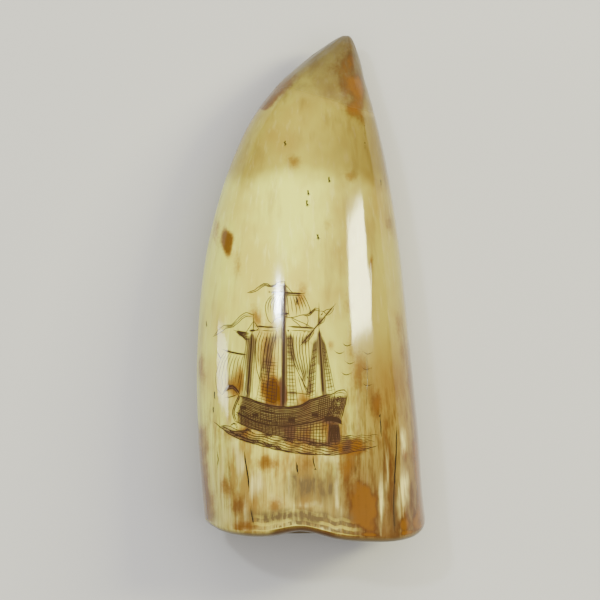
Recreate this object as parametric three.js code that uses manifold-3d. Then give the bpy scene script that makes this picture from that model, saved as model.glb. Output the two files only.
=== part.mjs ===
// A sperm whale's tooth engraved with a three-masted ship, lying on its back.
// Millimetres. +Y runs from the root end to the tip, +Z up through the engraved face.
// The origin is on the surface the tooth lies on, under the middle of its length and width.
import * as THREE from "three";
import { mergeVertices } from "three/addons/utils/BufferGeometryUtils.js";
import Module from "manifold-3d";

// Overall sizes
const LENGTH = 120;
const WIDTH = 52.2;
const THICKNESS = 37.4;

// Root end: the rim, its wall and the pulp cavity that opens there
const RIM_WALL = 7;
const RIM_ROUNDING = 1.6;
const CAVITY_DEPTH = 34;
const RIM_TILT = 1.7; // how much higher the rim is on its left than at its lowest point
const RIM_CORNER = 2.6; // how far the rim curves up at its two sides
const RIM_SCALLOP = 1.9; // height of the hollow worn into the front of the rim
const BACK_RIM = 1.1; // height of the rim's back edge over its lowest point

const FLAT_DEPTH = 0.3; // worn off the lowest place of the back, where the tooth rests

// Engraved lines: half of their width at the surface, and their depth
const HEAVY = { half: 0.34, depth: 0.4 };
const PLAIN = { half: 0.24, depth: 0.3 };
const FINE = { half: 0.18, depth: 0.24 };
const PROUD = 0.12; // how far a cutter stands out of the surface
const LONGEST_STEP = 3; // between two points of a line, so that it keeps to the curved surface
const OPEN_CRACK = { half: 0.55, depth: 0.8 }; // the drying crack, where it meets the rim

// How finely the surface is divided
const COLUMNS = 56;
const ROWS = 28;
const CAVITY_ROWS = 6;
const ROW_BUNCHING = 1.6; // above 1, rows close up towards the tip

const IVORY = new THREE.MeshStandardMaterial({
  name: "ivory",
  color: 0xd8c88e,
  roughness: 0.25,
  metalness: 0,
});

// Stations along the tooth, from 0 at the root end to 1 at the tip.
// Where a row gives a fullness, the size there is that times the square root of the way left to the tip,
// so that the tip comes out round.
const WIDTH_FULLNESS = [
  [0, 1],
  [0.1, 1.05],
  [0.2, 1.118],
  [0.4, 1.24],
  [0.6, 1.356],
  [0.8, 1.397],
  [0.88, 1.322],
  [0.95, 1.115],
  [1, 0.84],
];
const THICKNESS_FULLNESS = [
  [0, 0.99],
  [0.2, 1.118],
  [0.4, 1.23],
  [0.6, 1.33],
  [0.8, 1.4],
  [1, 1.4],
];
// How far the middle of the tooth swings to the right, as a share of its width
const SWAY = [
  [0, 0.029],
  [0.1, 0.006],
  [0.2, -0.0105],
  [0.4, -0.0345],
  [0.6, -0.0315],
  [0.8, 0.003],
  [0.9, 0.05],
  [0.95, 0.101],
  [1, 0.161],
];
// How high the middle of the tooth lies over the lowest place of its back, as a share of its thickness
const MIDDLE_HEIGHT = [
  [0, 0.533],
  [0.2, 0.509],
  [0.4, 0.477],
  [0.6, 0.439],
  [0.8, 0.412],
  [0.9, 0.388],
  [1, 0.35],
];
const SECTION_FULLNESS = 0.07; // how much fuller than an ellipse a section is

const SMALL = 0.01; // a step for reading slopes, in millimetres and radians
const vec = (x, y, z) => new THREE.Vector3(x, y, z);

// A smooth curve through rows of [place, value], read at any place.
function through(rows, at) {
  const last = rows.length - 1;
  let i = 0;
  while (i < last - 1 && at > rows[i + 1][0]) i++;
  const slope = (k) => {
    const before = rows[Math.max(k - 1, 0)];
    const after = rows[Math.min(k + 1, last)];
    return (after[1] - before[1]) / (after[0] - before[0]);
  };
  const [x0, y0] = rows[i];
  const [x1, y1] = rows[i + 1];
  const span = x1 - x0;
  const u = THREE.MathUtils.clamp((at - x0) / span, 0, 1);
  const ease = u * u * (3 - 2 * u);
  const leave = u * (1 - u) * (1 - u) * span * slope(i);
  const arrive = u * u * (1 - u) * span * slope(i + 1);
  return y0 + (y1 - y0) * ease + leave - arrive;
}

// The tooth's section at height y along it: its middle, and half of its width and thickness.
function sectionAt(y) {
  const along = THREE.MathUtils.clamp(y / LENGTH + 0.5, 0, 1);
  const left = Math.sqrt(1 - along);
  const halfWidth = (WIDTH / 2) * through(WIDTH_FULLNESS, along) * left;
  const halfThickness = (THICKNESS / 2) * through(THICKNESS_FULLNESS, along) * left;
  const z = THICKNESS * through(MIDDLE_HEIGHT, along) - FLAT_DEPTH;
  return { x: WIDTH * through(SWAY, along), z, halfWidth, halfThickness };
}

// A point on the section at y, at an angle from the right-hand side, moved in from the surface by inset.
function pointAt(angle, y, inset = 0) {
  const s = sectionAt(y);
  const c = Math.cos(angle);
  const n = Math.sin(angle);
  return vec(
    s.x + (s.halfWidth - inset) * c * (1 + SECTION_FULLNESS * n * n),
    y,
    s.z + (s.halfThickness - inset) * n * (1 + SECTION_FULLNESS * c * c),
  );
}

// The rim's height along Y, at an angle from the right-hand side.
function rimAt(angle) {
  const across = Math.cos(angle);
  const front = THREE.MathUtils.smoothstep(Math.sin(angle), -0.2, 0.35);
  const tilt = RIM_TILT * THREE.MathUtils.clamp((0.6 - across) / 1.6, 0, 1);
  const corner = RIM_CORNER * Math.abs(across) ** 8;
  const scallop = RIM_SCALLOP * Math.exp(-(((across + 0.12) / 0.24) ** 2));
  return -LENGTH / 2 + corner + front * (tilt + scallop) + (1 - front) * BACK_RIM;
}

// One closed skin: up the outside to the tip, and from the rim down into the cavity.
function toothGeometry() {
  const rings = [];
  const ring = (place) =>
    rings.push(
      Array.from({ length: COLUMNS }, (_, i) => {
        const angle = (i / COLUMNS) * 2 * Math.PI;
        return place(angle, rimAt(angle));
      }),
    );
  const cavityShare = (depth) => 1 - depth ** 1.5;
  for (let k = CAVITY_ROWS - 1; k >= 1; k--) {
    const depth = k / CAVITY_ROWS;
    ring((angle, rim) => {
      const wall = pointAt(angle, rim, RIM_WALL);
      const middle = sectionAt(rim);
      return vec(
        middle.x + (wall.x - middle.x) * cavityShare(depth),
        rim + CAVITY_DEPTH * depth,
        middle.z + (wall.z - middle.z) * cavityShare(depth),
      );
    });
  }
  ring((angle, rim) => pointAt(angle, rim + RIM_ROUNDING, RIM_WALL));
  ring((angle, rim) => pointAt(angle, rim + 0.3 * RIM_ROUNDING, RIM_WALL - RIM_ROUNDING));
  ring((angle, rim) => pointAt(angle, rim, RIM_ROUNDING));
  ring((angle, rim) => pointAt(angle, rim + 0.3 * RIM_ROUNDING, 0.3 * RIM_ROUNDING));
  for (let k = 0; k < ROWS; k++) {
    const up = 1 - (1 - k / ROWS) ** ROW_BUNCHING;
    ring((angle, rim) => {
      const foot = rim + RIM_ROUNDING;
      return pointAt(angle, foot + (LENGTH / 2 - foot) * up);
    });
  }
  const cavityFoot = sectionAt(-LENGTH / 2);
  const cavityEnd = vec(cavityFoot.x, -LENGTH / 2 + CAVITY_DEPTH, cavityFoot.z);
  const points = [cavityEnd, ...rings.flat(), pointAt(0, LENGTH / 2)];
  const triangles = [];
  const at = (row, i) => 1 + row * COLUMNS + (i % COLUMNS);
  for (let i = 0; i < COLUMNS; i++) {
    triangles.push(0, at(0, i), at(0, i + 1));
    for (let row = 0; row < rings.length - 1; row++) {
      triangles.push(at(row, i), at(row + 1, i), at(row + 1, i + 1));
      triangles.push(at(row, i), at(row + 1, i + 1), at(row, i + 1));
    }
    triangles.push(at(rings.length - 1, i), points.length - 1, at(rings.length - 1, i + 1));
  }
  return new THREE.BufferGeometry().setFromPoints(points).setIndex(triangles);
}

// The angle whose point on the front of the section at y has the given x.
function frontAngle(x, y) {
  const s = sectionAt(y);
  const share = (x - s.x) / s.halfWidth;
  let c = share;
  for (let step = 0; step < 8; step++) c = share / (1 + SECTION_FULLNESS * (1 - c * c));
  return Math.acos(THREE.MathUtils.clamp(c, -0.99, 0.99));
}

// The point of the front surface over (x, y), and the direction that faces out there.
function frontAt([x, y]) {
  const angle = frontAngle(x, y);
  const around = pointAt(angle + SMALL, y).sub(pointAt(angle - SMALL, y));
  const along = pointAt(angle, y + SMALL).sub(pointAt(angle, y - SMALL));
  return { point: pointAt(angle, y), out: along.cross(around).normalize() };
}

// The same line with points put in, none further apart than LONGEST_STEP.
function filled(line) {
  const points = [line[0]];
  for (let i = 1; i < line.length; i++) {
    const [[x0, y0], [x1, y1]] = [line[i - 1], line[i]];
    const steps = Math.max(1, Math.ceil(Math.hypot(x1 - x0, y1 - y0) / LONGEST_STEP - 0.1));
    for (let k = 1; k <= steps; k++) points.push([x0 + ((x1 - x0) * k) / steps, y0 + ((y1 - y0) * k) / steps]);
  }
  return points;
}

// A V-shaped cutter that follows a line of [x, y] places over the front surface.
function cutter(line, { half, depth }, endHalf = half, endDepth = depth) {
  const places = filled(line).map(frontAt);
  const points = [];
  places.forEach(({ point, out }, i) => {
    const share = i / (places.length - 1);
    const width = THREE.MathUtils.lerp(half, endHalf, share);
    const sunk = THREE.MathUtils.lerp(depth, endDepth, share);
    const before = places[Math.max(i - 1, 0)].point;
    const after = places[Math.min(i + 1, places.length - 1)].point;
    const side = after.clone().sub(before).cross(out).normalize();
    const reach = (width * (sunk + PROUD)) / sunk; // the wedge goes on widening above the surface
    points.push(
      point.clone().addScaledVector(out, -sunk),
      point.clone().addScaledVector(out, PROUD).addScaledVector(side, reach),
      point.clone().addScaledVector(out, PROUD).addScaledVector(side, -reach),
    );
  });
  const triangles = [0, 1, 2];
  for (let i = 0; i < places.length - 1; i++)
    for (let k = 0; k < 3; k++) {
      const [a, b] = [3 * i + k, 3 * i + ((k + 1) % 3)];
      triangles.push(a, a + 3, b, b, a + 3, b + 3);
    }
  const end = points.length - 3;
  triangles.push(end, end + 2, end + 1);
  return new THREE.BufferGeometry().setFromPoints(points).setIndex(triangles);
}

// The drawing and the cracks are laid out in cells that grow and shrink with the tooth.
const ACROSS = WIDTH / 52.2;
const ALONG = LENGTH / 120;
const MAIN_MAST_FOOT = [-6.6, -28]; // the ship's own origin, seen from the middle of the tooth
const onTooth = ([x, y]) => [x * ACROSS, y * ALONG];
const onShip = ([x, y]) => onTooth([MAIN_MAST_FOOT[0] + x, MAIN_MAST_FOOT[1] + y]);

// The hull from bow to stern: its rail, wale and waterline as [x, height].
const RAIL = [
  [-10.2, 2.4],
  [-7.8, 1.7],
  [-4, 0.4],
  [0, -0.2],
  [4.2, 0.2],
  [6.6, 1.5],
  [10, 2.5],
  [14.6, 3.7],
];
const WALE = [
  [-11, -1.4],
  [-5.5, -3.8],
  [0, -4.6],
  [6.4, -3.8],
  [12.8, -1.9],
];
const WATERLINE = [
  [-11.2, -3.6],
  [-7.3, -5.2],
  [-3.6, -6.4],
  [1.1, -7.3],
  [6.7, -8.3],
  [11, -9.2],
];
const SEA_TOP = [
  [13.2, -7.2],
  [17, -7.1],
  [22.8, -6.9],
];
const SEA_FOOT = [
  [-16.2, -3.8],
  [-12, -6.9],
  [-6, -9],
  [2, -10.8],
  [8, -11.3],
  [14, -11.2],
  [22.2, -9.3],
];
const MASTS = [
  { foot: [-7.8, 1.9], top: [-6.8, 21.2] },
  { foot: [0.1, -0.2], top: [0.5, 29.2] },
  { foot: [9.5, 2.6], top: [8.5, 23.8] },
];
const YARDS = [
  [[-13.8, 13.3], [-8, 12.1]],
  [[-11.1, 17.6], [-5.6, 16.8]],
  [[-6.4, 18.6], [-0.6, 18.1]],
  [[0.6, 18.3], [7.4, 18.2]],
  [[-3.2, 26.6], [4.8, 26.4]],
  [[3.9, 14.4], [12.2, 23.9]],
];
// Each sail's two sides, from its head to its foot
const SAILS = [
  [[[-13.4, 13], [-15.4, 9], [-15.8, 5], [-14, 2.2]], [[-9, 12], [-9.6, 7], [-9.2, 3.6]]],
  [[[-5.6, 18], [-6, 13], [-5.2, 8], [-3.6, 4.4]], [[6.8, 17.6], [5.4, 12], [5.8, 7], [7, 3.2]]],
  [[[-2.8, 26.2], [-4, 23], [-3.8, 20.4], [-2.2, 19]], [[4.4, 26], [6, 23.4], [6.6, 21.4]]],
];
const PENNANTS = [
  [[-6.9, 21.2], [-9.4, 20.9], [-12.2, 18.7], [-16.4, 16.3]],
  [[0.4, 29.1], [-2.8, 28.2], [-5.4, 27.9], [-8.4, 26.6]],
  [[8.4, 22.7], [6.4, 21.8], [4.7, 21.5]],
];
// Shrouds: from a masthead to the rail, at each x on the rail
const SHROUDS = [
  { head: [-7.6, 17.2], feet: [-9.2, -6.6] },
  { head: [-0.4, 18.4], feet: [-6, -2.2] },
  { head: [0.4, 18.4], feet: [1.4, 4.2] },
  { head: [8.2, 18], feet: [5.2, 6.8] },
  { head: [8.6, 18], feet: [9.8, 12] },
];
const GUNPORTS = [-9.2, -6.2, 1.9, 7.5];
const GUNPORT_HIGH = 0.45; // a port's height between the wale and the rail, as a share
const BIRDS = [
  [14.8, 14.4],
  [12.9, 12.8],
  [16, 10.2],
  [14.9, 7.3],
  [20, 12.6],
  [19.8, 8.8],
  [19.8, 5],
];
const BIRD_WING = 1.1;
const WAVE_STEP = 1.1; // between two lines of the sea

// Points of a smooth curve through rows of [x, y], at even steps of x.
function stretch(rows, from, to, steps) {
  return Array.from({ length: steps + 1 }, (_, i) => {
    const x = from + ((to - from) * i) / steps;
    return [x, through(rows, x)];
  });
}

// Points of a free curve through places given by hand.
function bent(places, steps) {
  const curve = new THREE.SplineCurve(places.map(([x, y]) => new THREE.Vector2(x, y)));
  return curve.getPoints(steps).map((p) => [p.x, p.y]);
}

function hullCutters() {
  const bow = [RAIL[0], WALE[0], WATERLINE[0]];
  const stern = [RAIL.at(-1), WALE.at(-1), WATERLINE.at(-1)];
  const lines = [
    [stretch(RAIL, RAIL[0][0], RAIL.at(-1)[0], 9), HEAVY],
    [stretch(WALE, WALE[0][0], WALE.at(-1)[0], 7), HEAVY],
    [stretch(WATERLINE, WATERLINE[0][0], WATERLINE.at(-1)[0], 7), PLAIN],
    [bent(bow, 4), PLAIN],
    [bent(stern, 4), HEAVY],
  ];
  for (const x of GUNPORTS) {
    const low = through(WALE, x);
    const y = low + (through(RAIL, x) - low) * GUNPORT_HIGH;
    lines.push([[[x - 0.5, y], [x + 0.5, y]], { half: 0.5, depth: HEAVY.depth }]);
  }
  return lines;
}

function riggingCutters() {
  const lines = [];
  MASTS.forEach(({ foot, top }) => lines.push([[foot, top], HEAVY]));
  YARDS.forEach((yard) => lines.push([yard, PLAIN]));
  PENNANTS.forEach((pennant) => lines.push([bent(pennant, 5), PLAIN]));
  for (const { head, feet } of SHROUDS)
    for (const x of feet) lines.push([[head, [x, through(RAIL, x)]], FINE]);
  return lines;
}

function sailCutters() {
  const lines = [];
  for (const [left, right] of SAILS) {
    const [a, b] = [bent(left, 5), bent(right, 5)];
    for (const share of [0, 0.34, 0.67, 1])
      lines.push([a.map(([x, y], i) => [x + (b[i][0] - x) * share, y + (b[i][1] - y) * share]), FINE]);
    lines.push([[a.at(-1), b.at(-1)], PLAIN]);
  }
  return lines;
}

function seaCutters() {
  const start = SEA_FOOT[0][0];
  const end = SEA_FOOT.at(-1)[0];
  const lines = [
    [stretch(SEA_FOOT, start, end, 9), HEAVY],
    [stretch(SEA_TOP, SEA_TOP[0][0], end, 3), FINE],
  ];
  const middle = SEA_FOOT.map(([x, y]) => [x, y + WAVE_STEP]);
  lines.push([stretch(middle, start + 3, end - 1, 9), FINE]);
  for (const [x, y] of BIRDS)
    lines.push([[[x - BIRD_WING, y + 0.5], [x, y], [x + BIRD_WING, y + 0.5]], FINE]);
  return lines;
}

// Drying cracks that run up from the root end, in places on the tooth: the widest one meets the rim.
const CRACKS = [
  [[20.2, -33], [20.3, -42], [19.6, -50], [19.5, -60]],
  [[16.8, -34], [17, -39]],
  [[-16.2, -46], [-15.6, -52], [-15.2, -55]],
];

function crackCutters() {
  const [open, ...closed] = CRACKS.map((crack) => bent(crack, 6).map(onTooth));
  return [
    cutter(open, FINE, OPEN_CRACK.half, OPEN_CRACK.depth),
    ...closed.map((crack) => cutter(crack, FINE)),
  ];
}

const wasm = await Module();
wasm.setup();

function solidOf(geometry) {
  const merged = mergeVertices(geometry, 1e-4);
  return new wasm.Manifold(
    new wasm.Mesh({
      numProp: 3,
      vertProperties: merged.attributes.position.array,
      triVerts: new Uint32Array(merged.index.array),
    }),
  );
}

function geometryOf(solid) {
  const { vertProperties, triVerts } = solid.getMesh();
  return new THREE.BufferGeometry()
    .setAttribute("position", new THREE.BufferAttribute(vertProperties, 3))
    .setIndex(new THREE.BufferAttribute(triVerts, 1));
}

// What lies under the surface that the tooth rests on is cut off, which leaves its small flat spot.
function groundBlock() {
  const block = new THREE.BoxGeometry(2 * WIDTH, 2 * LENGTH, THICKNESS);
  block.deleteAttribute("normal");
  block.deleteAttribute("uv");
  return block.translate(0, 0, -THICKNESS / 2);
}

function engravedTooth() {
  const drawing = [...hullCutters(), ...riggingCutters(), ...sailCutters(), ...seaCutters()];
  const cutters = [
    ...drawing.map(([line, tool]) => cutter(line.map(onShip), tool)),
    ...crackCutters(),
    groundBlock(),
  ].map(solidOf);
  const whole = solidOf(toothGeometry());
  return geometryOf(whole.subtract(wasm.Manifold.union(cutters)));
}

const tooth = new THREE.Mesh(engravedTooth(), IVORY);
tooth.name = "whale_tooth";

const part = new THREE.Group();
part.add(tooth);
export default part;
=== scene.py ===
import math

import bpy
import numpy as np
from mathutils import Matrix, Vector
from mathutils.geometry import delaunay_2d_cdt


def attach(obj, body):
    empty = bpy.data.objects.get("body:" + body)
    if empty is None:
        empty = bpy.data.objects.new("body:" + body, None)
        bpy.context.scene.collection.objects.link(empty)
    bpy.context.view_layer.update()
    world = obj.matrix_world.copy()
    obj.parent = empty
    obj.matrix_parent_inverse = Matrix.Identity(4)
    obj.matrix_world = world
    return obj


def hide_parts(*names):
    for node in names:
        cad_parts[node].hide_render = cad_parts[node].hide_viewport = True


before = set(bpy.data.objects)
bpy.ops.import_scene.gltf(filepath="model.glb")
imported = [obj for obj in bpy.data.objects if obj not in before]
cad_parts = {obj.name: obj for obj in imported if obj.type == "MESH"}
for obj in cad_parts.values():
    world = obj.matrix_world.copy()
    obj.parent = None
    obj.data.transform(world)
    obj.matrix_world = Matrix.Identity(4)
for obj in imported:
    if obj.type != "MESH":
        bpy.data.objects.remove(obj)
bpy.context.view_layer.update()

MM = 0.001

# Sizes of the tooth
LENGTH = 120.0
WIDTH = 52.2
THICKNESS = 37.4
RIM_WALL = 7.0
RIM_ROUNDING = 1.6
CAVITY_DEPTH = 34.0
RIM_TILT = 1.7
RIM_CORNER = 2.6
RIM_SCALLOP = 1.9
BACK_RIM = 1.1
FLAT_DEPTH = 0.3
SECTION_FULLNESS = 0.07

# Places across the tooth, from -1 at its left to 1 at its right
TILT_END = 0.6
TILT_SPAN = 1.6
SCALLOP_MIDDLE = -0.12
SCALLOP_WIDTH = 0.24
SIDE_LIMIT = 0.995

# Stations from the root end (0) to the tip (1)
WIDTH_FULLNESS = [
    (0, 1), (0.1, 1.05), (0.2, 1.118), (0.4, 1.24), (0.6, 1.356),
    (0.8, 1.397), (0.88, 1.322), (0.95, 1.115), (1, 0.84),
]
THICKNESS_FULLNESS = [(0, 0.99), (0.2, 1.118), (0.4, 1.23), (0.6, 1.33), (0.8, 1.4), (1, 1.4)]
SWAY = [
    (0, 0.029), (0.1, 0.006), (0.2, -0.0105), (0.4, -0.0345), (0.6, -0.0315),
    (0.8, 0.003), (0.9, 0.05), (0.95, 0.101), (1, 0.161),
]
MIDDLE_HEIGHT = [
    (0, 0.533), (0.2, 0.509), (0.4, 0.477), (0.6, 0.439),
    (0.8, 0.412), (0.9, 0.388), (1, 0.35),
]

# How finely the skin is divided
COLUMNS = 216
ROWS = 190
ROW_BUNCHING = 1.25
CAVITY_ROWS = 16

# The engraved front, which is divided along its strokes
FRONT_ANGLES = (26, 161)
FRONT_BOTTOM = -57.4
FRONT_TOP = 42.0
UNROLLED = 27.0
CLEAR_OF_STROKES = 0.22
CLEAR_OF_BORDER = 0.25
MERGE_WITHIN = 1e-4
BLEED = 1.2
DENSE = 0.45
SMALLEST = 1e-9


def through(rows, at):
    """A smooth curve through rows of (place, value)."""
    places, values = np.array(rows, float).T
    slopes = np.empty_like(values)
    slopes[1:-1] = (values[2:] - values[:-2]) / (places[2:] - places[:-2])
    slopes[0] = (values[1] - values[0]) / (places[1] - places[0])
    slopes[-1] = (values[-1] - values[-2]) / (places[-1] - places[-2])
    i = np.clip(np.searchsorted(places, at) - 1, 0, len(places) - 2)
    span = places[i + 1] - places[i]
    u = np.clip((at - places[i]) / span, 0, 1)
    ease = u * u * (3 - 2 * u)
    leave = u * (1 - u) ** 2 * span * slopes[i]
    arrive = u * u * (1 - u) * span * slopes[i + 1]
    return values[i] + (values[i + 1] - values[i]) * ease + leave - arrive


def smooth(value, low, high):
    share = np.clip((value - low) / (high - low), 0, 1)
    return share * share * (3 - 2 * share)


def noise(u, v, seed, wrap=0):
    """Smooth noise from -1 to 1 with cells of one unit, which repeats after wrap cells of u."""
    size = 256
    lattice = np.random.default_rng(seed).uniform(-1, 1, (size, size))
    iu = np.floor(u).astype(int)
    iv = np.floor(v).astype(int)
    fu, fv = u - iu, v - iv
    fu, fv = fu * fu * (3 - 2 * fu), fv * fv * (3 - 2 * fv)

    def corner(du, dv):
        column = (iu + du) % wrap if wrap else iu + du
        return lattice[column % size, (iv + dv) % size]

    low = corner(0, 0) * (1 - fu) + corner(1, 0) * fu
    high = corner(0, 1) * (1 - fu) + corner(1, 1) * fu
    return low * (1 - fv) + high * fv


def section(y):
    """The section's middle x and z, and half of its width and thickness."""
    along = np.clip(np.asarray(y, float) / LENGTH + 0.5, 0, 1)
    left = np.sqrt(1 - along)
    x = WIDTH * through(SWAY, along)
    z = THICKNESS * through(MIDDLE_HEIGHT, along) - FLAT_DEPTH
    half_width = WIDTH / 2 * through(WIDTH_FULLNESS, along) * left
    half_thickness = THICKNESS / 2 * through(THICKNESS_FULLNESS, along) * left
    return x, z, half_width, half_thickness


def point_at(angle, y, inset=0.0):
    """The skin's point at an angle, from the right over the front, and a place y along the tooth."""
    x, z, half_width, half_thickness = section(y)
    c, n = np.cos(angle), np.sin(angle)
    across = x + (half_width - inset) * c * (1 + SECTION_FULLNESS * n * n)
    up = z + (half_thickness - inset) * n * (1 + SECTION_FULLNESS * c * c)
    return np.stack([across, y + 0 * across, up], axis=-1)


def rim_at(angle):
    """Where along the tooth its root end's rim lies."""
    across = np.cos(angle)
    front = smooth(np.sin(angle), -0.2, 0.35)
    tilt = RIM_TILT * np.clip((TILT_END - across) / TILT_SPAN, 0, 1)
    corner = RIM_CORNER * np.abs(across) ** 8
    scallop = RIM_SCALLOP * np.exp(-(((across - SCALLOP_MIDDLE) / SCALLOP_WIDTH) ** 2))
    return -LENGTH / 2 + corner + front * (tilt + scallop) + (1 - front) * BACK_RIM


def front_angle(x, y):
    """The angle whose point on the front of the section at y has the given x."""
    middle, _, half_width, _ = section(y)
    c = share = (x - middle) / half_width
    for _ in range(8):
        c = share / (1 + SECTION_FULLNESS * (1 - c * c))
    return np.arccos(np.clip(c, -SIDE_LIMIT, SIDE_LIMIT))


# The ship, drawn in millimetres from the foot of its main mast
MAIN_MAST_FOOT = np.array([-6.6, -28.0])
RAIL = [
    (-10.2, 2.4), (-7.8, 1.7), (-4, 0.4), (0, -0.2),
    (4.2, 0.2), (6.6, 1.5), (10, 2.5), (14.6, 3.7),
]
WALE = [(-11, -1.4), (-5.5, -3.8), (0, -4.6), (6.4, -3.8), (12.8, -1.9)]
WATERLINE = [(-11.2, -3.6), (-7.3, -5.2), (-3.6, -6.4), (1.1, -7.3), (6.7, -8.3), (11, -9.2)]
SEA_TOP = [(-14.4, -4.2), (-11.4, -5), (-7.3, -5.9), (-3.6, -6.7), (1.1, -7.4), (6.7, -8.2), (11, -8.6)]
SEA_FOOT = [(-16.2, -3.8), (-12, -6.9), (-6, -9), (2, -10.8), (8, -11.3), (14, -11.2), (22.2, -9.3)]

# Wave crests: middle and size
CRESTS = [(-11.5, -4.4, 0.9), (-8.2, -5.7, 1), (-3.4, -6.9, 1.1), (1.3, -8, 1.2), (6.9, -8.9, 1.1)]

# Birds: middle and tone
BIRDS = [
    (15.2, 14.2, 0.8), (13.3, 12.4, 0.75), (15.8, 10, 0.6), (14.9, 7.4, 0.7),
    (20, 12.3, 0.5), (19.7, 8.6, 0.5), (19.9, 4.8, 0.5),
]
WING = 1.0

# The engraver's tools: half of a cut's width, and its depth
THIN = (0.085, 0.06)
FINE = (0.115, 0.07)
PLAIN = (0.155, 0.1)
HEAVY = (0.23, 0.15)
TAPER = 0.35
LOWEST_RATLINE = 0.97
RATLINE_SAG = np.array([0, -0.06])
GUNPORT_INK = 0.12

rng = np.random.default_rng(1841)
strokes = []


def lengths(places):
    """How far along their line each of the places lies."""
    return np.concatenate([[0], np.cumsum(np.hypot(*np.diff(places, axis=0).T))])


def on_curve(places, far, at):
    """Points of the smooth curve through places, at the given lengths along it."""
    return np.column_stack([through(list(zip(far, places[:, k])), at) for k in (0, 1)])


def curve(places, step=0.9):
    """Points of a smooth curve through the given places, about a step apart."""
    places = np.array(places, float)
    far = lengths(places)
    count = max(5, int(round(far[-1] / step)) + 1)
    return on_curve(places, far, np.linspace(0, far[-1], count))


def stroke(places, tool=FINE, tone=1.0, wobble=0.05, origin=MAIN_MAST_FOOT, step=0.9, dark=0.0):
    """One engraved line: a V with a width and a depth, tapering at both ends, with ink in it."""
    points = curve(places, step)
    shake = rng.uniform(-1, 1, points.shape) * wobble
    shake[0] = shake[-1] = 0
    half = np.full(len(points), tool[0])
    half[0] = half[-1] = tool[0] * TAPER
    strokes.append((points + shake + origin, half, tool[1], tone, dark))


def line(rows, share_low, share_high, count=24):
    """Points along rows of (x, height), between two shares of their length in x."""
    first, last = rows[0][0], rows[-1][0]
    x = np.linspace(first + (last - first) * share_low, first + (last - first) * share_high, count)
    return np.column_stack([x, through(rows, x)])


def between(low, high, share, start=0.0, end=1.0, count=16):
    """Points of the line that lies between two curves, at a share of the way from one to the other."""
    def even(places):
        places = np.array(places, float)
        far = lengths(places)
        return on_curve(places, far, np.linspace(start, end, count) * far[-1])

    a, b = even(low), even(high)
    return a + (b - a) * share


def bar(foot, top, width, lines, tone=1.0):
    """A mast or spar: strokes side by side."""
    foot, top = np.array(foot, float), np.array(top, float)
    ahead = (top - foot) / np.hypot(*(top - foot))
    aside = np.array([-ahead[1], ahead[0]])
    for k in range(lines):
        shift = aside * width * ((k + 0.5) / lines - 0.5)
        stroke([foot + shift, (foot + top) / 2 + shift, top + shift * 0.7], PLAIN, tone, 0.03, step=1.4)


def shrouds(heads, feet, lines, rungs, tone=0.9, first=0.06):
    """A fan of shrouds from between two heads to between two feet, with ratlines across it."""
    (head_a, head_b), (foot_a, foot_b) = np.array(heads, float), np.array(feet, float)
    for k in range(lines):
        share = k / (lines - 1)
        head, foot = head_a + (head_b - head_a) * share, foot_a + (foot_b - foot_a) * share
        stroke([head, (head + foot) / 2, foot], THIN, tone, 0.03, step=1.6)
    for k in range(rungs):
        down = first + (LOWEST_RATLINE - first) * (k + 0.5) / rungs
        left = head_a + (foot_a - head_a) * down
        right = head_b + (foot_b - head_b) * down
        stroke([left, (left + right) / 2 + RATLINE_SAG, right], THIN, tone * 0.9, 0.03, step=0.8)


def hatch(top, middle, foot, low_tone, high_tone):
    """One short stroke of shading, in a tone between the two."""
    stroke([top, middle, foot], FINE, rng.uniform(low_tone, high_tone))


def sail(left, right, shares, head=None, foot=None):
    """A sail between its two sides, whose folds hang from its head."""
    stroke(left, FINE, 0.95)
    stroke(right, FINE, 0.95)
    for share in shares:
        start, end = rng.uniform(0.02, 0.06), rng.uniform(0.62, 0.98)
        stroke(between(left, right, share, start, end, 8), FINE, 0.95, 0.06, step=1.2)
    if head:
        stroke(head, HEAVY, 1.0, 0.03)
    if foot:
        stroke(foot, FINE, 0.95)


def pennant(upper, lower):
    stroke(upper, FINE, 0.95)
    stroke(lower, FINE, 0.95)
    stroke(between(upper, lower, 0.5, 0.1, 0.7, 10), FINE, 0.5)


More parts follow.
